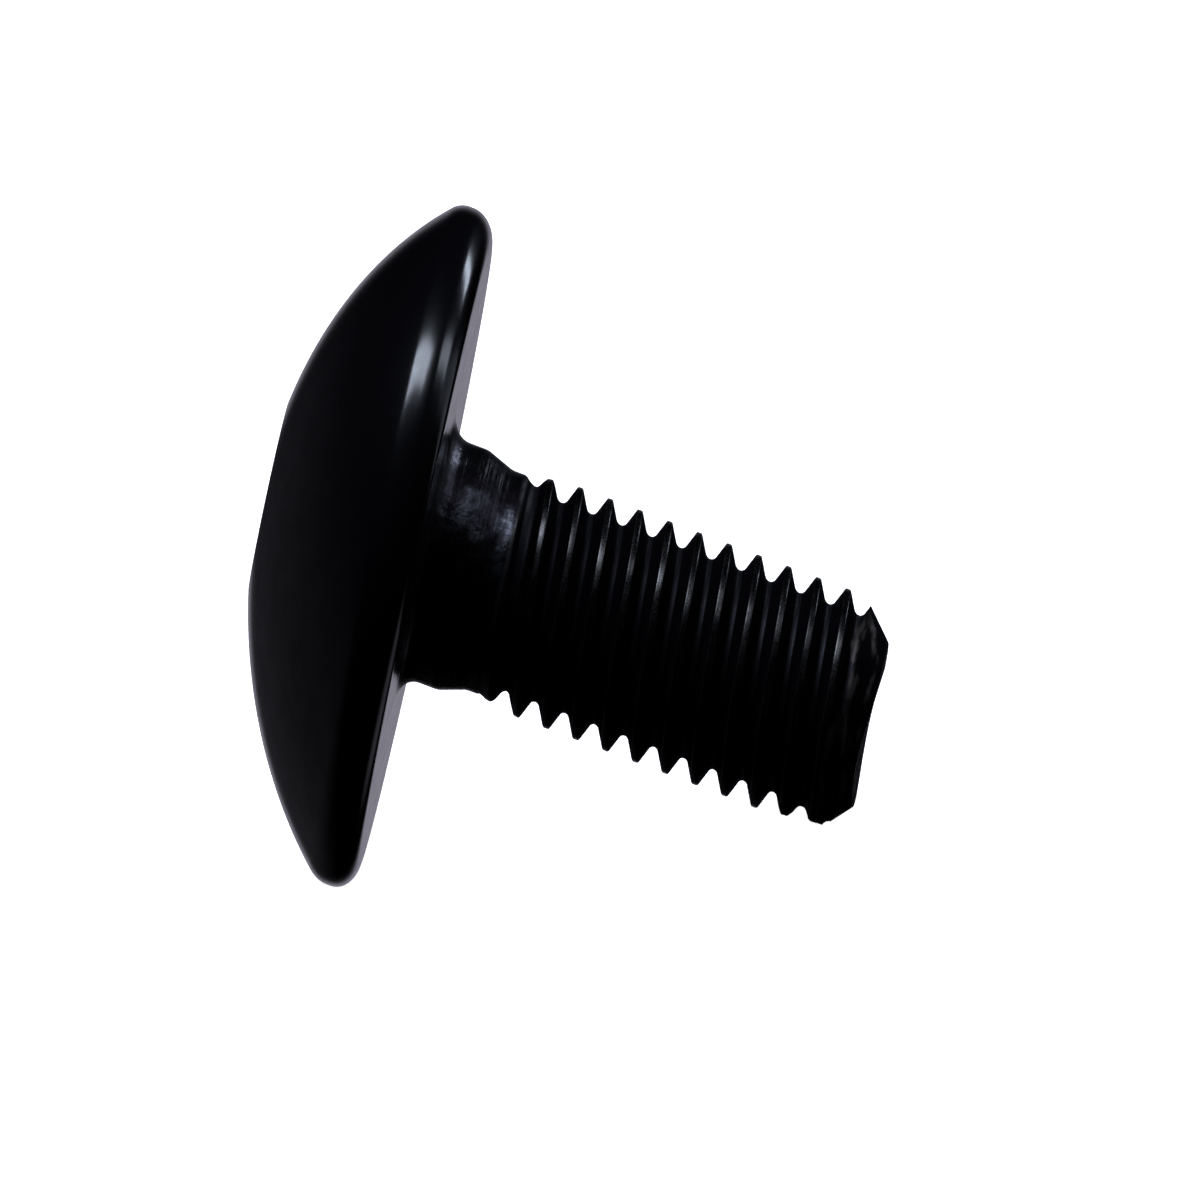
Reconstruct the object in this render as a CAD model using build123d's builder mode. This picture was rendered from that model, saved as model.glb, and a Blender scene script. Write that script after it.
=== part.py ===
"""Fairing screw: an M6 mushroom-head screw with a hex socket.

It is one piece of steel: the head is forged on a wire blank, the socket is punched into it and
the thread is rolled on the shank. The screw is modelled along the Z axis, with the bearing face
of its head at Z = 0 and its tip at +Z. It is then laid down as it comes to rest, on the rim of
its head and the end of its thread, with its tip towards +X. The origin stays in the middle of
the bearing face. Lengths are in millimetres and angles in degrees.
"""

import os
from math import asin, atan, atan2, cos, degrees, radians, sqrt, tan

from build123d import *

# ---- Head ----
head_diameter = 17.1
crown_height = 5.57  # of the crown's arc, from the bearing face to where it would meet the axis
crown_rounding = 0.93  # radius between the crown and the rim
rim_width = 0.13  # straight part of the rim
edge_rounding = 0.8  # radius between the rim and the bearing face

# ---- Hex socket ----
socket_across_flats = 4.0
socket_depth = 2.8  # from the mouth to the end of the hexagon's corners
floor_angle = 59.0  # between the conical floor and the screw's axis
mouth_margin = 0.09  # from the hexagon's corners to the edge of the chamfered mouth
mouth_angle = 45.0  # between the mouth's chamfer and the screw's axis

# ---- Shank ----
shank_length = 15.0  # from the bearing face to the tip
neck_diameter = 6.05
neck_length = 1.25
neck_fillet = 0.55
taper_length = 0.9
plain_length = 0.23  # bare blank between the taper and the thread

# ---- Right-handed thread ----
crest_diameter = 5.94
pitch = 1.0
flank_angle = 30.0  # between a flank and a plane across the screw's axis
runout_turns = 1.0  # that the groove takes to reach its full depth
crest_growth = 0.2  # by which rolling raises the crests above the blank
crest_growth_turns = 1.5  # that the crests take to reach their full height

# ---- Tip ----
tip_chamfer = 0.93  # height of the chamfer, from the crests to the end
tip_angle = 41.5  # between the chamfer and the screw's axis
tip_rounding = 0.12  # radius between the chamfer and the end
hollow_depth = 0.19  # of the trough that shearing leaves across the end
hollow_radius = 8.6
hollow_offset = 0.4  # of the trough's middle from the screw's axis

# ---- Resting pose ----
rest_turn = 10.0  # about the screw's own axis

# ---- Proportions of a metric thread ----
crest_width = pitch / 8
root_width = pitch / 4

# ---- Room that a cutting shape takes outside the metal ----
clearance = 0.4

# ---- Head, from the sizes above ----
head_radius = head_diameter / 2
rim_height = edge_rounding + rim_width
# The crown's arc carries on from the arc between crown and rim, with a common tangent
rim_centre = Vector(head_radius - crown_rounding, -rim_height)
crown_radius = (
    (crown_height - rim_height) ** 2 + rim_centre.X**2 - crown_rounding**2
) / (2 * (crown_height - rim_height - crown_rounding))
crown_centre = Vector(0, crown_radius - crown_height)
crown_edge_angle = degrees(atan2(rim_centre.Y - crown_centre.Y, rim_centre.X))

# ---- Socket, from the sizes above ----
corner_radius = socket_across_flats / sqrt(3)
mouth_radius = corner_radius + mouth_margin
mouth_z = crown_centre.Y - sqrt(crown_radius**2 - mouth_radius**2)
punch_end = mouth_z + socket_depth + corner_radius / tan(radians(floor_angle))

# ---- Shank and thread, from the sizes above ----
neck_radius = neck_diameter / 2
crest_radius = crest_diameter / 2
blank_radius = crest_radius - crest_growth
taper_end = neck_length + taper_length
thread_start = taper_end + plain_length
crest_start = thread_start + crest_growth_turns * pitch

thread_depth = (pitch - crest_width - root_width) / 2 / tan(radians(flank_angle))
core_radius = crest_radius - thread_depth
# The flanks of the groove's section run on past the crests, by a quarter of the crests' width
groove_half_width = (pitch - crest_width / 2) / 2
groove_flank_height = (groove_half_width - root_width / 2) / tan(radians(flank_angle))
groove_height = thread_depth + clearance
# The groove starts just clear of the blank's surface, so that it meets the metal gradually
runout_length = runout_turns * pitch
runout_rise = blank_radius - core_radius + pitch / 20
runout_angle = degrees(atan(runout_rise / runout_length))
full_groove_start = thread_start + runout_length
# The groove ends in the blank's spare length, which is cut off
spare_length = 2 * pitch
blank_end = shank_length + spare_length
groove_end = shank_length + spare_length / 2

# ---- Punch that forms the hex socket, with its conical point ----
with BuildPart() as punch:
    punch_start = -crown_height - clearance
    with BuildSketch(Plane.XY.offset(punch_start)):
        RegularPolygon(socket_across_flats / 2, 6, major_radius=False)
    extrude(amount=punch_end - punch_start)
    with BuildSketch(Plane.XZ):
        cone_radius = corner_radius + clearance
        cone_start = punch_end - cone_radius / tan(radians(floor_angle))
        with BuildLine():
            Polyline(
                (0, punch_end),
                (cone_radius, cone_start),
                (cone_radius, punch_start - clearance),
                (0, punch_start - clearance),
                close=True,
            )
        make_face()
    revolve(axis=Axis.Z, mode=Mode.INTERSECT)

# ---- Groove that rolling presses into the shank, running out towards the neck ----
with BuildLine() as groove_path:
    Helix(
        pitch / cos(radians(runout_angle)),
        runout_length,
        core_radius + runout_rise,
        center=(0, 0, thread_start),
        cone_angle=-runout_angle,
    )
    full_groove = Helix(
        pitch,
        groove_end - full_groove_start,
        core_radius,
        center=(0, 0, full_groove_start),
        mode=Mode.PRIVATE,
    )
    add(Rot(0, 0, 360 * runout_turns) * full_groove)

with BuildPart() as groove:
    with BuildSketch(Plane(groove_path.line @ 0, x_dir=(1, 0, 0), z_dir=groove_path.line % 0)):
        with BuildLine():
            Polyline(
                (groove_height, -groove_half_width),
                (groove_flank_height, -groove_half_width),
                (0, -root_width / 2),
                (0, root_width / 2),
                (groove_flank_height, groove_half_width),
                (groove_height, groove_half_width),
                close=True,
            )
        make_face()
    sweep(path=groove_path.line, is_frenet=True)

# ---- Screw ----
with BuildPart() as screw:
    # Forged blank
    with BuildSketch(Plane.XZ):
        with BuildLine():
            crown = CenterArc(crown_centre, crown_radius, -90, 90 + crown_edge_angle)
            rim = TangentArc(crown @ 1, (head_radius, -rim_height), tangent=crown % 1)
            FilletPolyline(
                rim @ 1,
                (head_radius, 0),
                (neck_radius, 0),
                (neck_radius, neck_length),
                (blank_radius, taper_end),
                (blank_radius, thread_start),
                (crest_radius, crest_start),
                (crest_radius, blank_end),
                (0, blank_end),
                crown @ 0,
                radius=(edge_rounding, neck_fillet, 0, 0, 0, 0, 0, 0),
            )
        make_face()
    revolve(axis=Axis.Z)

    # Hex socket, with the chamfer round its mouth
    add(punch.part, mode=Mode.SUBTRACT)
    with BuildSketch(Plane.XZ):
        mouth_rise = mouth_z - punch_start
        with BuildLine():
            Polyline(
                (0, mouth_z + mouth_radius / tan(radians(mouth_angle))),
                (mouth_radius + mouth_rise * tan(radians(mouth_angle)), punch_start),
                (0, punch_start),
                close=True,
            )
        make_face()
    revolve(axis=Axis.Z, mode=Mode.SUBTRACT)

    # Thread
    add(groove.part, mode=Mode.SUBTRACT)

    # Tip: the spare length comes off, and the end is chamfered and left slightly hollow
    with BuildSketch(Plane.XZ):
        tip_cut_height = tip_chamfer + clearance
        tip_cut_length = tip_cut_height / tan(radians(tip_angle))
        with BuildLine():
            FilletPolyline(
                (0, shank_length),
                (crest_radius - tip_chamfer, shank_length),
                (crest_radius + clearance, shank_length - tip_cut_length),
                (crest_radius + clearance, blank_end + clearance),
                (0, blank_end + clearance),
                radius=(0, tip_rounding, 0, 0, 0),
                close=True,
            )
        make_face()
    revolve(axis=Axis.Z, mode=Mode.SUBTRACT)
    with Locations((hollow_offset, 0, shank_length - hollow_depth + hollow_radius)):
        Cylinder(hollow_radius, crest_diameter, rotation=(90, 0, 0), mode=Mode.SUBTRACT)

# ---- Resting pose: the floor touches the rim's rounding and the end of the thread ----
thread_end = shank_length - tip_chamfer / tan(radians(tip_angle))
edge_centre = Vector(head_radius - edge_rounding, -edge_rounding)
reach = Vector(thread_end - edge_centre.Y, edge_centre.X - crest_radius)
rest_tilt = degrees(atan2(reach.Y, reach.X) + asin(edge_rounding / reach.length))

with BuildPart() as fairing_screw:
    with Locations(Location((0, 0, 0), (0, 90 + rest_tilt, 0))):
        add(screw.part, rotation=(0, 0, rest_turn))

os.makedirs("parts", exist_ok=True)
fairing_screw.part.label = "fairing_screw"
export_step(fairing_screw.part, "parts/fairing_screw.step")
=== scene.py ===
"""Fairing screw: an M6 mushroom-head screw of blackened steel, lying on a pale studio floor.

The screw is modelled upright, with the bearing face of its head at Z = 0 and its tip at +Z, and
is then laid down as it comes to rest. Its head and neck are drawn out ring by ring, its thread
is one ring of the thread's section swept up the screw's axis, and its socket and its tip are cut.
"""

from math import acos, asin, atan2, cos, hypot, pi, radians, sin, sqrt, tan

import bmesh
import bpy
from mathutils import Matrix, Vector


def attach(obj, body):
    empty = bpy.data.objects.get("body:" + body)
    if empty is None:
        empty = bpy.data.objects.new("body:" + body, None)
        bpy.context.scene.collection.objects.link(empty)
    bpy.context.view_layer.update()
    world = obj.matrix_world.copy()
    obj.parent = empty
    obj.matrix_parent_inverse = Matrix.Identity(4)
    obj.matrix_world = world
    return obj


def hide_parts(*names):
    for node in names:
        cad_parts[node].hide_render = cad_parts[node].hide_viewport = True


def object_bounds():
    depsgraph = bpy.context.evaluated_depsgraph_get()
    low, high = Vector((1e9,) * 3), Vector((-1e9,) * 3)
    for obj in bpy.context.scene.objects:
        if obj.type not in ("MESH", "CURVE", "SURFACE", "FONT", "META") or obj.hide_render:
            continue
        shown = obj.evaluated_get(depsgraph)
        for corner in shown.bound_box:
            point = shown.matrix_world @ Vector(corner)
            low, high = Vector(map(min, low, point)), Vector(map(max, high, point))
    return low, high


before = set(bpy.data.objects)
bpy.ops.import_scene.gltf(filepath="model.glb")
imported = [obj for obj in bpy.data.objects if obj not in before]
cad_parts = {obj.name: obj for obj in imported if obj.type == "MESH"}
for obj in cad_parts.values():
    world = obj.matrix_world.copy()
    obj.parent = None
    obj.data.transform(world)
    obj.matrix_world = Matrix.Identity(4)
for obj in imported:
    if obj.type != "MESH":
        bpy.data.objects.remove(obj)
cad_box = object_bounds()

bl_info = {
    "name": "Fairing Screw",
    "version": (1, 0, 0),
    "blender": (4, 5, 0),
    "location": "3D View > Sidebar > Fairing Screw",
    "description": "Models a mushroom-head fairing screw and lights it in a small studio",
    "category": "Mesh",
}

# Points round the screw, and rows that its thread has in each turn
RING_POINTS = 96
THREAD_ROWS = 40

# Facets round the cylinder that cuts the trough across the end
TROUGH_FACETS = 256

# Turns of the thread over which rolling raises its crests to their full height
GROWTH_TURNS = 1.5

# Faces that meet at less than this angle are shaded as one smooth surface
SMOOTH_ANGLE = radians(32)

# Slack within which points count as being at the same place
SAME_PLACE = 2e-6

# Heights between which the finish changes from the neck's to the head's and the thread's
HEAD_BORDER = (0.15e-3, -0.03e-3)
THREAD_BORDER = (2.5e-3, 2.8e-3)

# Heights of the ring of bright metal that paints a highlight on the run-out's edge, and of the lit
# floor of the run-out, and their fading
GLINT_RING = (2.65e-3, 2.68e-3, 0.04e-3)
RUNOUT_FLOOR = (2.90e-3, 3.15e-3, 0.1e-3)

# Depths below the crests between which the crests, the run-out's floor and the roots are reached
CREST_DEPTHS = (0.04e-3, 0.01e-3)
RUNOUT_DEPTHS = (0.30e-3, 0.36e-3)
ROOT_DEPTHS = (0.505e-3, 0.523e-3)

# Distances from the tip between which the bright roots, the scuffs and the sheared end begin
ROOT_END = (0.47e-3, 0.55e-3)
SCUFF_START = (1.5e-3, 1.0e-3)
SHEAR_START = (0.4e-3, 0.25e-3)

# Patterns of patches: scale, detail, and the levels of noise between which they fill
THIN_FILM = (1500, 4.0, 0.3, 0.7)
STREAKS = (3000, 3.0, 0.3, 0.75)
RINGS = (5200, 2.0, 0.35, 0.65)
GRAIN = (14000, 2.0, 0.2, 0.8)
LUMPS = (2600, 3.0, 0.2, 0.8)
SCALE_MARKS = (1350, 4.0, 0.47, 0.82)
SCUFFS = (2300, 3.0, 0.5, 0.75)

# Colour of the lights, and the tint of violet that the room's own glow has
COLD_LIGHT = (0.74, 0.83, 1.0)
ROOM_TINT = (0.95, 0.93, 1.12)

# How far the lights and the camera are from the middle of the picture
LIGHT_DISTANCE = 0.5
CAMERA_DISTANCE = 0.4


# ---- Sizes ----


def length(name, description, millimetres):
    """A length that a user can change, given in millimetres"""
    return bpy.props.FloatProperty(
        name=name,
        description=description,
        default=millimetres / 1000,
        min=0.0,
        precision=5,
        subtype="DISTANCE",
        unit="LENGTH",
    )


def angle(name, description, value):
    """An angle that a user can change, given in degrees"""
    return bpy.props.FloatProperty(
        name=name,
        description=description,
        default=radians(value),
        subtype="ANGLE",
        unit="ROTATION",
    )


def share(name, description, value):
    """A share between none and all that a user can change"""
    return bpy.props.FloatProperty(
        name=name, description=description, default=value, min=0.0, max=1.0, subtype="FACTOR"
    )


def colour(name, description, value):
    """A colour that a user can change"""
    return bpy.props.FloatVectorProperty(
        name=name,
        description=description,
        default=value,
        min=0.0,
        max=1.0,
        size=3,
        subtype="COLOR",
    )


class HeadSizes(bpy.types.PropertyGroup):
    """Sizes of the mushroom head and its hex socket"""

    diameter: length("Head Diameter", "Across the rim of the head", 17.086)
    crown_height: length("Crown Height", "From the bearing face to the crown's top", 5.566)
    crown_rounding: length("Crown Rounding", "Radius between the crown and the rim", 0.93)
    rim_width: length("Rim Width", "Straight part of the rim", 0.13)
    edge_rounding: length("Edge Rounding", "Radius between the rim and the bearing face", 0.8)
    socket_width: length("Socket Width", "Across the flats of the hex socket", 4.0)
    socket_depth: length("Socket Depth", "From the mouth to the end of the hexagon", 2.8)
    mouth_margin: length("Mouth Margin", "From the hexagon's corners to the mouth's edge", 0.09)
    floor_angle: angle("Floor Angle", "Between the socket's floor and the axis", 59.0)


class ShankSizes(bpy.types.PropertyGroup):
    """Sizes of the neck, the thread and the tip"""

    shank_length: length("Shank Length", "From the bearing face to the tip", 14.993)
    neck_diameter: length("Neck Diameter", "Across the bare wire under the head", 6.05)
    neck_length: length("Neck Length", "From the bearing face to the taper", 1.25)
    neck_fillet: length("Neck Fillet", "Radius between the neck and the bearing face", 0.62)
    taper_length: length("Taper Length", "From the neck to the blank of the thread", 0.9)
    plain_length: length("Plain Length", "Bare blank between the taper and the thread", 0.265)
    crest_diameter: length("Crest Diameter", "Across the crests of the thread", 5.94)
    pitch: length("Pitch", "From one crest of the thread to the next", 1.0)
    flank_angle: angle("Flank Angle", "Between a flank and a plane across the axis", 30.0)
    root_rounding: length("Root Rounding", "Radius of the groove's bottom", 0.2)
    crest_width: length("Crest Width", "Flat part of the thread's crests", 0.165)
    crest_rounding: length("Crest Rounding", "Radius of the crests' edges", 0.05)
    crest_growth: length("Crest Growth", "By which rolling raises the crests", 0.2)
    tip_chamfer: length("Tip Chamfer", "Height of the tip's chamfer", 0.915)
    tip_angle: angle("Tip Angle", "Between the tip's chamfer and the axis", 41.5)
    tip_rounding: length("Tip Rounding", "Radius between the chamfer and the end", 0.12)
    hollow_depth: length("Hollow Depth", "Of the trough that shearing leaves", 0.155)
    hollow_radius: length("Hollow Radius", "Of the trough that shearing leaves", 8.6)
    hollow_offset: length("Hollow Offset", "Of the trough from the axis", 0.6)
    bruise: share("Bruise", "How far the end of the thread is bruised", 1.0)


class FinishSettings(bpy.types.PropertyGroup):
    """Colours and finish of the blackened steel"""

    oxide: colour("Oxide", "Black oxide on the head and the thread", (0.002, 0.0018, 0.0026))
    neck_oxide: colour("Neck Oxide", "Black oxide on the neck", (0.0200, 0.0180, 0.0220))
    scale: colour("Scale", "Pale marks on the neck", (0.100, 0.104, 0.118))
    roots: colour("Roots", "Bottom of the thread's groove", (0.020, 0.019, 0.022))
    # Also the colour of the ring of painted highlight where the thread begins
    rubbed: colour("Rubbed Steel", "Crests of the thread", (0.068, 0.065, 0.064))
    scuffed: colour("Scuffed Steel", "Scuffs on the tip", (0.078, 0.066, 0.060))
    gloss: share("Film Roughness", "How matt the oil film on the head is", 0.18)


class StudioSettings(bpy.types.PropertyGroup):
    """The stage, its light and its camera"""

    elevation: angle("Elevation", "How far the camera looks down", 14.0)
    tip_lean: angle("Tip Lean", "How far the tip leans towards the camera", 2.0)
    axis_slope: angle("Axis Slope", "Of the screw's axis in the picture", 15.86)
    picture_width: length("Picture Width", "Width that the camera takes in", 38.8)
    centre_along: length("Centre Across", "Of the picture, right of the bearing face", 5.63)
    centre_below: length("Centre Below", "Of the picture, below the bearing face", 1.07)
    squeeze: share("Picture Squeeze", "Width of the picture against its height", 0.75)
    floor: colour("Floor", "Colour of the floor", (0.9, 0.9, 0.9))


# ---- Modelling ----


def deselect_all():
    """Leave edit mode and select nothing"""
    if bpy.context.active_object and bpy.context.mode != "OBJECT":
        bpy.ops.object.mode_set(mode="OBJECT")
    bpy.ops.object.select_all(action="DESELECT")


def pick(*pieces):
    """Select only the given pieces, and make the first one active"""
    deselect_all()
    for piece in pieces:
        piece.select_set(True)
    bpy.context.view_layer.objects.active = pieces[0]


def settle():
    """Work the place, turn and size of the selected piece into its mesh"""
    bpy.ops.object.transform_apply(location=True, rotation=True, scale=True)


def edit(piece):
    """Take one piece into edit mode, with nothing of it selected"""
    pick(piece)
    bpy.ops.object.mode_set(mode="EDIT")
    bpy.ops.mesh.select_mode(type="VERT")
    bpy.ops.mesh.select_all(action="DESELECT")


def select_points(piece, test):
    """In edit mode, select only the points whose place passes the test"""
    shape = bmesh.from_edit_mesh(piece.data)
    for point in shape.verts:
        point.select_set(test(point.co))
    shape.select_flush_mode()
    bmesh.update_edit_mesh(piece.data)


def start_ring(name, radius, height, filled="NOTHING"):
    """Add a ring about the Z axis and take it into edit mode"""
    deselect_all()
    bpy.ops.mesh.primitive_circle_add(
        vertices=RING_POINTS, radius=radius, fill_type=filled, location=(0, 0, height)
    )
    ring = bpy.context.active_object
    ring.name = name
    settle()
    bpy.ops.object.mode_set(mode="EDIT")
    bpy.ops.mesh.select_all(action="SELECT")
    return ring


def draw_out(start, stops):
    """Extrude the selected ring from one (radius, height) to each of the next ones"""
    radius, height = start
    for next_radius, next_height in stops:
        bpy.ops.mesh.extrude_region_move(
            TRANSFORM_OT_translate={"value": (0, 0, next_height - height)}
        )
        scale = next_radius / radius
        bpy.ops.transform.resize(value=(scale, scale, 1), center_override=(0, 0, 0))
        radius, height = next_radius, next_height


def arc(centre, radius, start, end, steps):
    """The (radius, height) stops along an arc about a centre, without its first point"""
    turns = [start + (end - start) * (step + 1) / steps for step in range(steps)]
    return [(centre[0] + radius * cos(turn), centre[1] + radius * sin(turn)) for turn in turns]


def cut_away(piece, cutter, operation="DIFFERENCE"):
    """Cut one solid with another, which is used up"""
    pick(piece)
    cut = piece.modifiers.new("Cut", "BOOLEAN")
    cut.operation = operation
    cut.solver = "EXACT"
    cut.object = cutter
    bpy.ops.object.modifier_apply(modifier=cut.name)
    spent = cutter.data
    bpy.data.objects.remove(cutter)
    bpy.data.meshes.remove(spent)


def face_outwards(piece):
    """Merge doubles and point all faces outwards"""
    edit(piece)
    bpy.ops.mesh.select_all(action="SELECT")
    bpy.ops.mesh.remove_doubles(threshold=SAME_PLACE)
    bpy.ops.mesh.normals_make_consistent(inside=False)
    deselect_all()


# ---- Head and neck ----


def thread_start(shank):
    """Height at which the thread's groove begins"""
    return shank.neck_length + shank.taper_length + shank.plain_length


def mouth_place(head):
    """Radius and height of the socket's mouth, and the crown's arc as its radius and centre"""
    rim_height = head.edge_rounding + head.rim_width
    rim_reach = head.diameter / 2 - head.crown_rounding
    crown_radius = (
        (head.crown_height - rim_height) ** 2 + rim_reach**2 - head.crown_rounding**2
    ) / (2 * (head.crown_height - rim_height - head.crown_rounding))
    crown_centre = crown_radius - head.crown_height
    radius = head.socket_width / sqrt(3) + head.mouth_margin
    height = crown_centre - sqrt(crown_radius**2 - radius**2)
    return radius, height, crown_radius, crown_centre


def forge_head(head, shank):
    """Draw the blank from the start of the thread, over neck and rim, to the socket's mouth"""
    mouth_radius, mouth_height, crown_radius, crown_centre = mouth_place(head)
    head_radius = head.diameter / 2
    neck_radius = shank.neck_diameter / 2
    blank_radius = shank.crest_diameter / 2 - shank.crest_growth
    taper_end = shank.neck_length + shank.taper_length

    start = (blank_radius, thread_start(shank))
    fillet = shank.neck_fillet
    edge = head.edge_rounding
    # A row of points inside the edge keeps the bearing face flat up to its rounding
    support = head_radius - 2.5 * edge
    # The taper's two corners are softened a little: along the wire, along the taper and inwards
    along_wire, along_taper, inwards = 0.08e-3, 0.05e-3, 0.012e-3
    rim_height = -edge - head.rim_width
    rim_centre = (head_radius - head.crown_rounding, rim_height)
    rim_turn = atan2(rim_height - crown_centre, rim_centre[0])
    mouth_turn = -acos(mouth_radius / crown_radius)

    blank = start_ring("steel_blank", *start)
    draw_out(
        start,
        [
            (blank_radius, taper_end + along_wire),
            (blank_radius + inwards, taper_end - along_taper),
            (neck_radius - inwards, shank.neck_length + along_taper),
            (neck_radius, shank.neck_length - along_wire),
            (neck_radius, (shank.neck_length + fillet) / 2),
            (neck_radius, fillet),
        ]
        + arc((neck_radius + fillet, fillet), fillet, pi, 1.5 * pi, steps=8)
        + [(support, 0.0), (head_radius - edge, 0.0)]
        + arc((head_radius - edge, -edge), edge, pi / 2, 0, steps=10)
        + [(head_radius, rim_height)]
        + arc(rim_centre, head.crown_rounding, 0, rim_turn, steps=8)
        + arc((0, crown_centre), crown_radius, rim_turn, mouth_turn, steps=26),
    )
    # The mouth's chamfer runs on almost to the axis, and the hexagon then cuts that point away
    point = (mouth_radius / 20, mouth_height + 0.95 * mouth_radius)
    draw_out((mouth_radius, mouth_height), [point])
    bpy.ops.mesh.edge_face_add()
    # The open end is closed too while the socket is cut
    select_points(blank, lambda place: abs(place.z - start[1]) < SAME_PLACE)
    bpy.ops.mesh.edge_face_add()
    face_outwards(blank)
    return blank


def punch_socket(blank, head):
    """Cut the hex socket, with its conical floor, out of the crown"""
    mouth_height = mouth_place(head)[1]
    corner_radius = head.socket_width / sqrt(3)
    hexagon_end = mouth_height + head.socket_depth
    point_depth = corner_radius / tan(head.floor_angle)
    top = mouth_height - corner_radius
    bottom = hexagon_end + point_depth

    deselect_all()
    bpy.ops.mesh.primitive_cylinder_add(
        vertices=6, radius=corner_radius, depth=bottom - top, location=(0, 0, (top + bottom) / 2)
    )
    punch = bpy.context.active_object
    punch.name = "socket_punch"
    settle()

    # A cone with the floor's slope, wider than the hexagon, gives the punch its point
    bpy.ops.object.select_all(action="DESELECT")
    envelope_radius = 2 * corner_radius
    envelope_depth = envelope_radius / tan(head.floor_angle)
    bpy.ops.mesh.primitive_cone_add(
        vertices=RING_POINTS,
        radius1=envelope_radius,
        radius2=0,
        depth=envelope_depth,
        location=(0, 0, bottom - envelope_depth / 2),
    )
    envelope = bpy.context.active_object
    settle()
    edit(envelope)
    select_points(envelope, lambda place: hypot(place.x, place.y) > corner_radius)
    bpy.ops.mesh.extrude_region_move(
        TRANSFORM_OT_translate={"value": (0, 0, top - bottom - corner_radius)}
    )
    face_outwards(envelope)

    cut_away(punch, envelope, "INTERSECT")
    face_outwards(punch)
    cut_away(blank, punch)


# ---- Thread ----


def section_radius(shank, offset):
    """Radius of the thread at an offset along the axis from the middle of the groove"""
    crest = shank.crest_diameter / 2
    slope = 1 / tan(shank.flank_angle)
    crest_edge = (shank.pitch - shank.crest_width) / 2
    # The root's arc runs into the flank at the flank's own angle
    root = crest - crest_edge * slope + shank.root_rounding * (1 / sin(shank.flank_angle) - 1)
    root_end = shank.root_rounding * cos(shank.flank_angle)
    if offset < root_end:
        return root + shank.root_rounding - sqrt(shank.root_rounding**2 - offset**2)
    rounding = shank.crest_rounding
    tangent = rounding * tan((pi / 2 - shank.flank_angle) / 2)
    if offset > crest_edge + tangent:
        return crest
    if offset > crest_edge - tangent * sin(shank.flank_angle):
        return crest - rounding + sqrt(rounding**2 - (crest_edge + tangent - offset) ** 2)
    return crest - (crest_edge - offset) * slope


def smooth(start, end, value):
    """Rise from 0 at the start to 1 at the end without a kink"""
    part = min(max((value - start) / (end - start), 0.0), 1.0)
    return part * part * (3 - 2 * part)


def draw_to_radius(thread, name, radius, weight_at):
    """Draw the thread's points to a cylinder, each by its own weight"""
    group = thread.vertex_groups.new(name=name)
    for point in thread.data.vertices:
        weight = weight_at(point.co)
        if weight > 0:
            group.add([point.index], weight, "REPLACE")
    pick(thread)
    cast = thread.modifiers.new(name, "CAST")
    cast.cast_type = "CYLINDER"
    cast.use_z = False
    cast.use_radius_as_size = False
    cast.size = radius
    cast.factor = 1.0
    cast.vertex_group = name
    bpy.ops.object.modifier_apply(modifier=cast.name)


def roll_thread(shank):
    """Shape one ring as the thread's section across the axis, and sweep it up the axis"""
    pitch = shank.pitch
    blank_radius = shank.crest_diameter / 2 - shank.crest_growth
    start = thread_start(shank)
    turns = int((shank.shank_length - start) / pitch) + 2

    # The groove of a right-handed thread comes round once a turn, so the ring holds a whole pitch
    thread = start_ring("rolled_thread", blank_radius, start)
    same_turn = 1e-3
    for step in range(RING_POINTS // 2 + 1):
        turn = step / RING_POINTS
        select_points(
            thread, lambda place: abs(abs(atan2(place.y, place.x)) - 2 * pi * turn) < same_turn
        )
        scale = section_radius(shank, turn * pitch) / blank_radius
        bpy.ops.transform.resize(value=(scale, scale, 1), center_override=(0, 0, 0))
    bpy.ops.object.mode_set(mode="OBJECT")

    sweep = thread.modifiers.new("Sweep", "SCREW")
    sweep.angle = 2 * pi
    sweep.screw_offset = pitch
    sweep.iterations = turns
    sweep.steps = THREAD_ROWS
    sweep.render_steps = THREAD_ROWS
    bpy.ops.object.modifier_apply(modifier=sweep.name)

    # The groove deepens over its first turn, from a little way into it, and faster at its start
    runout_start, runout_power = 0.1, 0.77

    def runout(place):
        if hypot(place.x, place.y) >= blank_radius:
            return 0.0
        part = ((place.z - start) / pitch - runout_start) / (1 - runout_start)
        return 1 - min(max(part, 0.0), 1.0) ** runout_power

    def growth(place):
        if hypot(place.x, place.y) <= blank_radius:
            return 0.0
        return max(1 - (place.z - start) / (GROWTH_TURNS * pitch), 0.0)

    draw_to_radius(thread, "growth", blank_radius, growth)
    draw_to_radius(thread, "runout", blank_radius, runout)
    return thread


def bruise_thread(thread, shank):
    """Flatten the end of the thread where the screw was dropped on it"""
    # The angles between which the bruise fades out round the screw
    full_angle, last_angle = radians(16), radians(44)
    # The two last threads' shares of it, and the millimetres from the tip between which each fades
    threads = ((0.45, 2.1, 2.5), (0.55, 1.1, 1.6))
    # Metal nearer the axis than this gives way less, by this share
    firm_radius, firm_share = 2.7e-3, 0.55
    bruised_radius = 2.78e-3

    def knock(place):
        round_it = 1 - smooth(full_angle, last_angle, abs(atan2(place.y, place.x)))
        behind = (shank.shank_length - place.z) * 1000
        along = sum(part * (1 - smooth(near, far, behind)) for part, near, far in threads)
        if hypot(place.x, place.y) < firm_radius:
            along *= firm_share
        return shank.bruise * round_it * along

    draw_to_radius(thread, "bruise", bruised_radius, knock)


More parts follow.
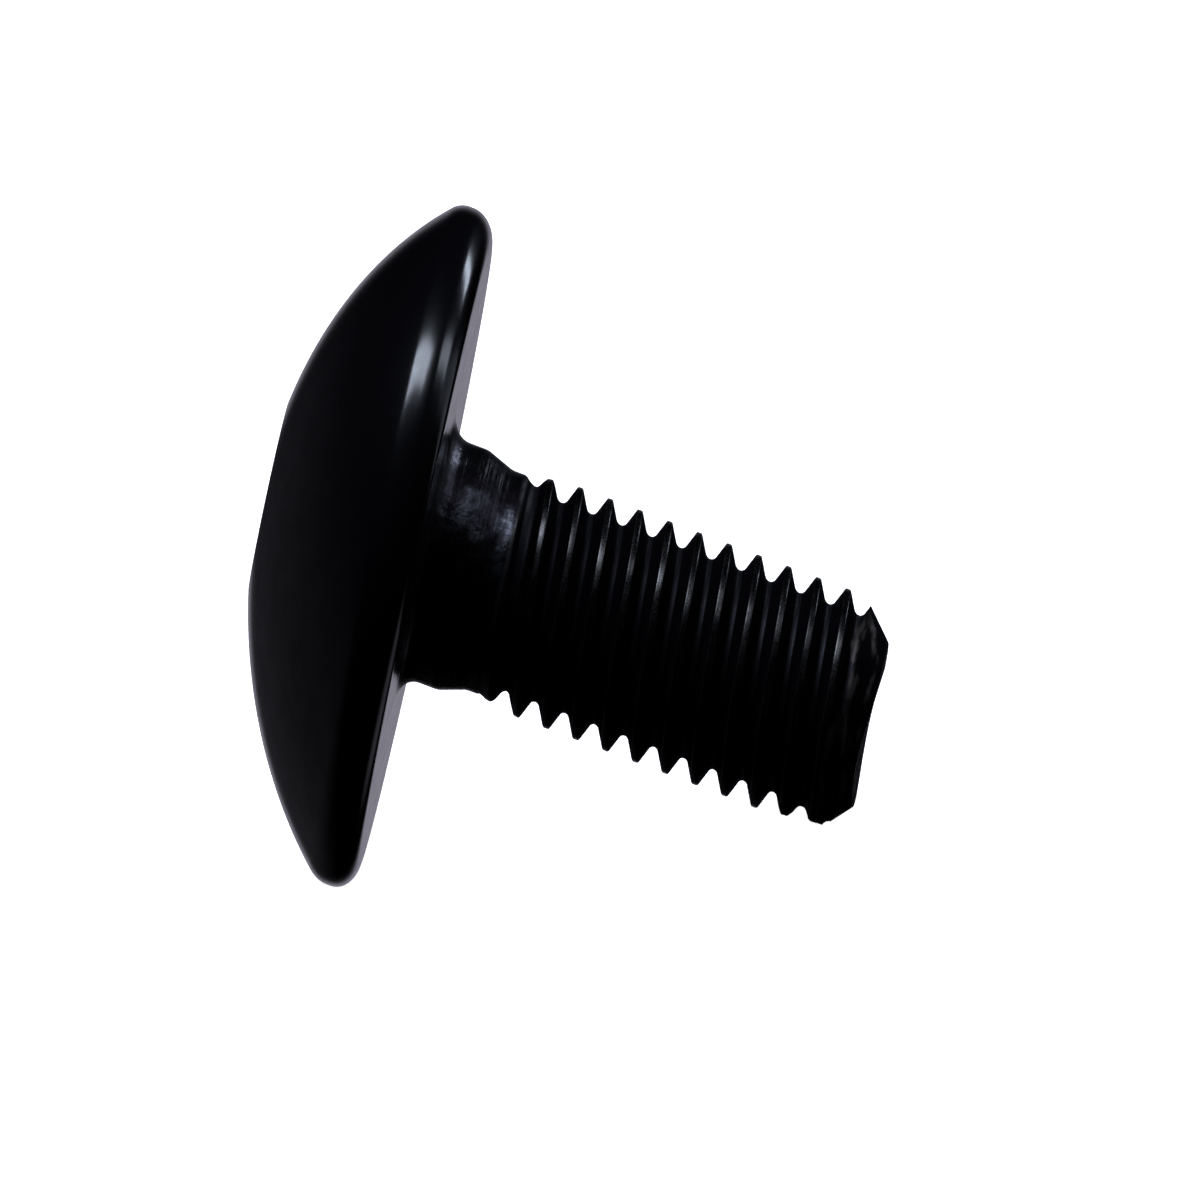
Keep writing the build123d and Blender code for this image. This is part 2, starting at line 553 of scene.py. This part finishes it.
def cut_tip(screw, shank):
    """Cut the screw to length, with its chamfer and the trough across its end"""
    crest = shank.crest_diameter / 2
    slope = tan(shank.tip_angle)
    end = shank.shank_length
    end_radius = crest - shank.tip_chamfer
    # The cutter reaches past the crests, and past the thread's spare length
    outside = crest + 0.5e-3
    far = end + 2.6e-3

    cutter = start_ring("tip_cutter", outside, far, "NGON")
    draw_out(
        (outside, far),
        [(outside, end - (outside - end_radius) / slope), (end_radius, end)],
    )
    bpy.ops.mesh.edge_face_add()
    select_points(
        cutter,
        lambda place: abs(place.z - end) < SAME_PLACE
        and abs(hypot(place.x, place.y) - end_radius) < SAME_PLACE,
    )
    bpy.ops.mesh.bevel(
        offset=shank.tip_rounding * tan((pi / 2 - shank.tip_angle) / 2),
        segments=4,
        affect="EDGES",
    )
    face_outwards(cutter)
    cut_away(screw, cutter)

    deselect_all()
    bpy.ops.mesh.primitive_cylinder_add(
        vertices=TROUGH_FACETS,
        radius=shank.hollow_radius,
        depth=4 * crest,
        location=(shank.hollow_offset, 0, end - shank.hollow_depth + shank.hollow_radius),
        rotation=(pi / 2, 0, 0),
    )
    trough = bpy.context.active_object
    settle()
    cut_away(screw, trough)


def join(first, second):
    """Make one mesh of two that share a ring, and keep the first one's name"""
    pick(first, second)
    bpy.ops.object.join()


def open_ring(piece, height):
    """Take away the face that closes the piece at a height"""
    edit(piece)
    bpy.ops.mesh.select_mode(type="FACE")
    shape = bmesh.from_edit_mesh(piece.data)
    for face in shape.faces:
        whole = len(face.verts) == RING_POINTS
        face.select_set(whole and abs(face.calc_center_median().z - height) < SAME_PLACE)
    bmesh.update_edit_mesh(piece.data)
    bpy.ops.mesh.delete(type="ONLY_FACE")
    deselect_all()


def rest_slope(head, shank):
    """Angle of the axis when the screw lies on its rim and on the end of its thread"""
    thread_end = shank.shank_length - shank.tip_chamfer / tan(shank.tip_angle)
    along = thread_end + head.edge_rounding
    across = head.diameter / 2 - head.edge_rounding - shank.crest_diameter / 2
    return atan2(across, along) + asin(head.edge_rounding / hypot(along, across))


class AddFairingScrew(bpy.types.Operator):
    """Model the fairing screw, lay it down and give it its finish"""

    bl_idname = "mesh.fairing_screw_add"
    bl_label = "Fairing Screw"

    def execute(self, context):
        head = context.scene.fairing_screw_head
        shank = context.scene.fairing_screw_shank
        slope = rest_slope(head, shank)

        screw = forge_head(head, shank)
        punch_socket(screw, head)
        open_ring(screw, thread_start(shank))

        thread = roll_thread(shank)
        bruise_thread(thread, shank)
        top = max(point.co.z for point in thread.data.vertices)
        edit(thread)
        select_points(thread, lambda place: abs(place.z - top) < SAME_PLACE)
        bpy.ops.mesh.edge_face_add()
        join(screw, thread)
        face_outwards(screw)
        cut_tip(screw, shank)

        screw.name = "finished_screw"
        screw.data.name = "finished_screw"
        pick(screw)
        screw.rotation_euler = (0, pi / 2 + slope, 0)
        settle()
        bpy.ops.object.shade_smooth_by_angle(angle=SMOOTH_ANGLE)
        screw.vertex_groups.clear()
        screw.data.materials.clear()
        finish = context.scene.fairing_screw_finish
        screw.data.materials.append(blackened_steel(finish, shank, slope))

        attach(screw, "root")
        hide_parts("fairing_screw")
        return {"FINISHED"}


# ---- Finish ----


def add_node(tree, kind, inputs, **settings):
    """Add a shader node, with each input linked or set"""
    node = tree.nodes.new("ShaderNode" + kind)
    for name, value in settings.items():
        setattr(node, name, value)
    for name, value in inputs.items():
        if isinstance(value, bpy.types.NodeSocket):
            tree.links.new(value, node.inputs[name])
        else:
            node.inputs[name].default_value = value
    return node


def ramp(tree, value, start, end, low=0.0, high=1.0, course="SMOOTHSTEP"):
    """Go from one value to another while a length or a mask goes from start to end"""
    node = add_node(
        tree,
        "MapRange",
        {"Value": value, "From Min": start, "From Max": end, "To Min": low, "To Max": high},
        interpolation_type=course,
    )
    return node.outputs["Result"]


def weigh(tree, mask, low, high):
    """Go from one value where a mask is empty to another where it is full"""
    return ramp(tree, mask, 0.0, 1.0, low, high)


def combine(tree, operation, first, *others):
    """Work out one value from several, taken in their order"""
    for other in others:
        first = add_node(tree, "Math", {0: first, 1: other}, operation=operation).outputs[0]
    return first


def ramp_before(tree, value, limit, distances):
    """Rise from 0 to 1 between two distances short of a limit"""
    start, end = distances
    return ramp(tree, value, limit - start, limit - end)


def band(tree, value, start, end, fade):
    """Be full between two lengths, and fade out on both sides of them"""
    rise = ramp(tree, value, start - fade, start)
    return combine(tree, "MULTIPLY", rise, ramp(tree, value, end + fade, end))


def blend(tree, mask, first, second):
    """Go from one colour to another by a mask"""
    node = add_node(tree, "Mix", {"Factor": mask}, data_type="RGBA")
    for socket, value in zip((6, 7), (first, second)):
        if isinstance(value, bpy.types.NodeSocket):
            tree.links.new(value, node.inputs[socket])
        else:
            node.inputs[socket].default_value = (*value, 1)
    return node.outputs[2]


def patches_group():
    """Soft patches over a surface, as a mask from 0 to 1"""
    if "patches" in bpy.data.node_groups:
        return bpy.data.node_groups["patches"]
    group = bpy.data.node_groups.new("patches", "ShaderNodeTree")
    group.interface.new_socket("Place", in_out="INPUT", socket_type="NodeSocketVector")
    for name, value in (("Scale", 1000.0), ("Detail", 3.0), ("Start", 0.4), ("End", 0.6)):
        socket = group.interface.new_socket(name, in_out="INPUT", socket_type="NodeSocketFloat")
        socket.default_value = value
    group.interface.new_socket("Mask", in_out="OUTPUT", socket_type="NodeSocketFloat")
    given = group.nodes.new("NodeGroupInput").outputs
    noise = add_node(
        group,
        "TexNoise",
        {"Vector": given["Place"], "Scale": given["Scale"], "Detail": given["Detail"]},
    )
    mask = ramp(group, noise.outputs["Fac"], given["Start"], given["End"])
    group.links.new(mask, group.nodes.new("NodeGroupOutput").inputs["Mask"])
    return group


def patches(tree, place, scale, detail, start, end):
    """Place the group of soft patches in a material, and give its mask"""
    node = tree.nodes.new("ShaderNodeGroup")
    node.node_tree = patches_group()
    tree.links.new(place, node.inputs["Place"])
    for name, value in (("Scale", scale), ("Detail", detail), ("Start", start), ("End", end)):
        node.inputs[name].default_value = value
    return node.outputs["Mask"]


def blackened_steel(finish, shank, slope):
    """Black oxide: oiled and glossy on the head, scaly on the neck, dry on the thread"""
    material = bpy.data.materials.new("blackened_steel")
    material.use_nodes = True
    tree = material.node_tree
    shader = tree.nodes["Principled BSDF"]
    crest = shank.crest_diameter / 2
    end = shank.shank_length

    # Places as on the upright screw: height along the axis, and distance from it
    place = add_node(tree, "TexCoord", {}).outputs["Object"]
    upright = add_node(
        tree, "Mapping", {"Vector": place, "Rotation": (0, -pi / 2 - slope, 0)}
    ).outputs["Vector"]
    split = add_node(tree, "SeparateXYZ", {"Vector": upright}).outputs
    height = split["Z"]
    across = add_node(
        tree, "VectorMath", {0: upright, 1: (1, 1, 0)}, operation="MULTIPLY"
    ).outputs["Vector"]
    distance = add_node(tree, "VectorMath", {0: across}, operation="LENGTH").outputs["Value"]
    ring_place = add_node(tree, "CombineXYZ", {"X": distance, "Z": height}).outputs["Vector"]

    # Coordinates rolled out round the axis, a millimetre to a radian, with their seam underneath
    turn = combine(tree, "ARCTAN2", split["Y"], combine(tree, "MULTIPLY", split["X"], -1.0))
    rolled_out = combine(tree, "MULTIPLY", turn, 1e-3)
    rolled_place = add_node(
        tree, "CombineXYZ", {"X": distance, "Y": rolled_out, "Z": height}
    ).outputs["Vector"]

    # Where the head, the neck and the thread are
    head = ramp(tree, height, *HEAD_BORDER)
    thread = ramp(tree, height, *THREAD_BORDER)
    neck = combine(tree, "SUBTRACT", 1.0, head, thread)

    # The crests, which are lower where they still grow
    start = thread_start(shank)
    grown = start + GROWTH_TURNS * shank.pitch
    missing = ramp(tree, height, start, grown, shank.crest_growth, 0.0, "LINEAR")
    rise = combine(tree, "ADD", distance, missing)
    crests = combine(tree, "MULTIPLY", ramp_before(tree, rise, crest, CREST_DEPTHS), thread)

    # The roots, dimmer near the neck and gone at the chamfer, and the floor of the run-out
    deep = ramp_before(tree, distance, crest, ROOT_DEPTHS)
    brighter = ramp(tree, height, 3e-3, 13e-3, 0.35, 1.0)
    inside = ramp_before(tree, height, end, ROOT_END)
    roots = combine(tree, "MULTIPLY", deep, thread, brighter, inside)
    shallow = ramp_before(tree, distance, crest, RUNOUT_DEPTHS)
    runout = combine(tree, "MULTIPLY", shallow, band(tree, height, *RUNOUT_FLOOR), 0.75)
    roots = combine(tree, "MAXIMUM", roots, runout)

    # The last thread with its chamfer, and the sheared end
    tip = ramp_before(tree, height, end, SCUFF_START)
    sheared = ramp_before(tree, height, end, SHEAR_START)

    # Scale on the neck, streaks along the thread, scuffs on the tip
    thin_film = patches(tree, upright, *THIN_FILM)
    streaks = patches(tree, rolled_place, *STREAKS)
    rings = patches(tree, ring_place, *RINGS)
    grain = patches(tree, upright, *GRAIN)
    lumps = patches(tree, upright, *LUMPS)
    scaly = combine(tree, "MULTIPLY", patches(tree, upright, *SCALE_MARKS), neck)
    scuffs = combine(tree, "MULTIPLY", patches(tree, rolled_place, *SCUFFS), tip)
    rubbed = combine(tree, "MULTIPLY", crests, weigh(tree, streaks, 0.25, 1.0))
    # A ring of bright metal where the thread begins: a painted highlight on the edge of the
    # run-out's groove
    glint_ring = band(tree, height, *GLINT_RING)
    glint_ring = combine(tree, "MULTIPLY", glint_ring, weigh(tree, streaks, 0.1, 1.0))

    # Colour: dark oxide, paler where it is rubbed or scaly, and on the ring of painted highlight
    colour = blend(tree, neck, finish.oxide, finish.neck_oxide)
    colour = blend(tree, roots, colour, finish.roots)
    colour = blend(tree, rubbed, colour, finish.rubbed)
    colour = blend(tree, scaly, colour, finish.scale)
    colour = blend(tree, glint_ring, colour, finish.rubbed)
    colour = blend(tree, scuffs, colour, finish.scuffed)
    tree.links.new(colour, shader.inputs["Base Color"])

    # Metallic where the oxide is thin or rubbed through and on the ring of painted highlight, and
    # almost without gloss elsewhere
    bare = combine(tree, "MAXIMUM", crests, roots, scuffs, neck, glint_ring)
    tree.links.new(bare, shader.inputs["Metallic"])
    shader.inputs["Specular IOR Level"].default_value = 0.006

    # Roughness: the sheared end and the grain add to it, the crests and the neck are smoother
    rough = weigh(tree, head, 0.52, 0.42)
    more = (weigh(tree, sheared, 0.0, 0.05), weigh(tree, grain, -0.05, 0.05))
    less = (weigh(tree, crests, 0.0, 0.23), weigh(tree, neck, 0.0, 0.16))
    rough = combine(tree, "SUBTRACT", combine(tree, "ADD", rough, *more), *less)
    tree.links.new(rough, shader.inputs["Roughness"])

    # The oil film is on the head only, a little thinner in patches
    film = combine(tree, "MULTIPLY", head, weigh(tree, thin_film, 0.85, 1.0))
    tree.links.new(film, shader.inputs["Coat Weight"])
    shader.inputs["Coat Roughness"].default_value = finish.gloss
    shader.inputs["Coat IOR"].default_value = 1.5

    # Relief of the scale, the rings and the grain
    scaled = combine(tree, "MULTIPLY", lumps, neck, 0.55)
    ringed = combine(tree, "MULTIPLY", rings, weigh(tree, neck, 0.04, 0.35))
    grained = combine(tree, "MULTIPLY", grain, weigh(tree, crests, 0.06, 0.02))
    relief = combine(tree, "ADD", scaled, ringed, grained)
    bump = add_node(tree, "Bump", {"Height": relief, "Strength": 1.0, "Distance": 3e-5})
    tree.links.new(bump.outputs["Normal"], shader.inputs["Normal"])
    return material


# ---- Studio ----


def camera_axes(studio, screw_slope):
    """Directions right, up and back of a camera that sees the axis at the asked slope"""
    lift = studio.elevation
    turn = asin(
        (sin(studio.tip_lean) + sin(screw_slope) * sin(lift)) / (cos(screw_slope) * cos(lift))
    )
    back = Vector((sin(turn) * cos(lift), -cos(turn) * cos(lift), sin(lift)))
    level = Vector((cos(turn), sin(turn), 0))
    upright = back.cross(level)
    along = Vector((cos(screw_slope), 0, -sin(screw_slope)))
    roll = atan2(along.dot(upright), along.dot(level)) + studio.axis_slope
    right = level * cos(roll) + upright * sin(roll)
    return right, back.cross(right), back


def in_picture(axes, across, above, nearer):
    """A direction given as it lies in the picture: to the right, upwards and to the viewer"""
    right, up, back = axes
    return right * across + up * above + back * nearer


def floor_paper(studio):
    """Plain pale paper"""
    material = bpy.data.materials.new("floor_paper")
    material.use_nodes = True
    shader = material.node_tree.nodes["Principled BSDF"]
    shader.inputs["Base Color"].default_value = (*studio.floor, 1)
    shader.inputs["Roughness"].default_value = 0.9
    shader.inputs["Emission Color"].default_value = (1, 1, 1, 1)
    shader.inputs["Emission Strength"].default_value = 1.0
    return material


def lay_floor(studio, height):
    """Lay a paper floor that lights nothing and shows in no reflection"""
    deselect_all()
    bpy.ops.mesh.primitive_plane_add(size=4, location=(0, 0, height))
    floor = bpy.context.active_object
    floor.name = "studio_floor"
    settle()
    floor.data.materials.append(floor_paper(studio))
    floor.visible_glossy = False
    floor.visible_diffuse = False


def mount_camera(studio, middle, axes):
    """Set up a camera whose picture can be squeezed across"""
    right, up, back = axes
    bpy.ops.object.camera_add()
    camera = bpy.context.active_object
    camera.name = "studio_camera"
    camera.data.type = "ORTHO"
    camera.data.ortho_scale = studio.picture_width
    camera.data.clip_start = 0.01
    camera.data.clip_end = 10
    # For the squeeze, the picture's upright leans back, so that it takes in less height
    lean = sqrt(1 - studio.squeeze**2)
    squeezed = Matrix((right, up * studio.squeeze + back * lean, back)).transposed().to_4x4()
    squeezed.translation = middle + back * CAMERA_DISTANCE
    bpy.ops.object.empty_add(type="PLAIN_AXES")
    mount = bpy.context.active_object
    mount.name = "camera_mount"
    camera.parent = mount
    camera.matrix_parent_inverse = squeezed
    return camera


def softbox(name, middle, direction, across, size, glow):
    """Add an area light that faces the middle, with its first side along one direction"""
    deselect_all()
    towards = direction.normalized()
    side = (across - towards * across.dot(towards)).normalized()
    bpy.ops.object.light_add(type="AREA")
    lamp = bpy.context.active_object
    lamp.name = name
    turned = Matrix((side, towards.cross(side), towards)).transposed().to_4x4()
    turned.translation = middle + towards * LIGHT_DISTANCE
    lamp.matrix_world = turned
    lamp.data.shape = "RECTANGLE"
    lamp.data.size, lamp.data.size_y = size
    lamp.data.energy = glow * size[0] * size[1] * pi
    lamp.data.color = COLD_LIGHT


def hang_lights(middle, axes):
    """Hang the softboxes, each by its direction, its first side's direction, its size and glow"""
    for name, direction, side, size, glow in (
        ("window_light", (-0.24, 0.90, 0.31), (0.78, 0.15, 0.43), (0.46, 0.15), 11.0),
        ("side_light", (0.76, 0.65, 0.19), (0.42, -0.38, -0.37), (0.32, 0.1), 4.3),
        ("rear_light", (0.64, 0.60, -0.47), (0.24, -0.25, 0), (0.17, 0.10), 8.0),
        ("low_light", (0.93, 0.16, -0.30), (0.19, 0.45, 0.77), (0.5, 0.1), 0.45),
    ):
        towards, across = in_picture(axes, *direction), in_picture(axes, *side)
        softbox(name, middle, towards, across, size, glow)


def fill_air(axes):
    """A white backdrop for the camera, and a dark room with three soft glows for the screw"""
    world = bpy.data.worlds.new("studio_air")
    world.use_nodes = True
    tree = world.node_tree
    air = tree.nodes["Background"]
    place = add_node(tree, "TexCoord", {}).outputs["Generated"]
    backdrop = add_node(tree, "LightPath", {}).outputs["Is Camera Ray"]
    tree.links.new(blend(tree, backdrop, ROOM_TINT, (1, 1, 1)), air.inputs["Color"])
    # Each glow's direction, the cosines between which it rises, and its strength
    strength = backdrop
    for direction, start, end, glow in (
        ((0, 0, -1), 0.94, 0.995, 0.45),
        ((-0.8, -0.25, -0.55), 0.58, 1.0, 0.058),
        ((0.73, -0.43, -0.53), 0.95, 0.995, 0.25),
    ):
        towards = in_picture(axes, *direction).normalized()
        facing = add_node(tree, "VectorMath", {0: place, 1: towards}, operation="DOT_PRODUCT")
        lit = ramp(tree, facing.outputs["Value"], start, end, 0.0, glow)
        strength = combine(tree, "MAXIMUM", lit, strength)
    tree.links.new(strength, air.inputs["Strength"])
    return world


class BuildStudio(bpy.types.Operator):
    """Lay the floor, hang the lights and set up the camera"""

    bl_idname = "scene.fairing_screw_studio"
    bl_label = "Studio"

    def execute(self, context):
        scene = context.scene
        studio = scene.fairing_screw_studio
        slope = rest_slope(scene.fairing_screw_head, scene.fairing_screw_shank)
        axes = camera_axes(studio, slope)
        middle = in_picture(axes, studio.centre_along, -studio.centre_below, 0)

        lay_floor(studio, cad_box[0][2])
        scene.camera = mount_camera(studio, middle, axes)
        hang_lights(middle, axes)
        scene.world = fill_air(axes)
        scene.view_settings.view_transform = "Standard"
        return {"FINISHED"}


# ---- Add-on ----


class FairingScrewPanel(bpy.types.Panel):
    """The screw and its studio, with their sizes, finish and light"""

    bl_idname = "VIEW3D_PT_fairing_screw"
    bl_label = "Fairing Screw"
    bl_space_type = "VIEW_3D"
    bl_region_type = "UI"
    bl_category = "Fairing Screw"

    def draw(self, context):
        scene = context.scene
        for settings, operator in (
            (scene.fairing_screw_head, None),
            (scene.fairing_screw_shank, None),
            (scene.fairing_screw_finish, AddFairingScrew.bl_idname),
            (scene.fairing_screw_studio, BuildStudio.bl_idname),
        ):
            column = self.layout.column()
            for name in settings.__annotations__:
                column.prop(settings, name)
            if operator:
                column.operator(operator)


SETTINGS = {
    "fairing_screw_head": HeadSizes,
    "fairing_screw_shank": ShankSizes,
    "fairing_screw_finish": FinishSettings,
    "fairing_screw_studio": StudioSettings,
}
CLASSES = (*SETTINGS.values(), AddFairingScrew, BuildStudio, FairingScrewPanel)


def register():
    for item in CLASSES:
        bpy.utils.register_class(item)
    for name, group in SETTINGS.items():
        setattr(bpy.types.Scene, name, bpy.props.PointerProperty(type=group))


def unregister():
    for name in SETTINGS:
        delattr(bpy.types.Scene, name)
    for item in reversed(CLASSES):
        bpy.utils.unregister_class(item)


def main():
    register()
    bpy.ops.mesh.fairing_screw_add()
    bpy.ops.scene.fairing_screw_studio()


if __name__ == "__main__":
    main()
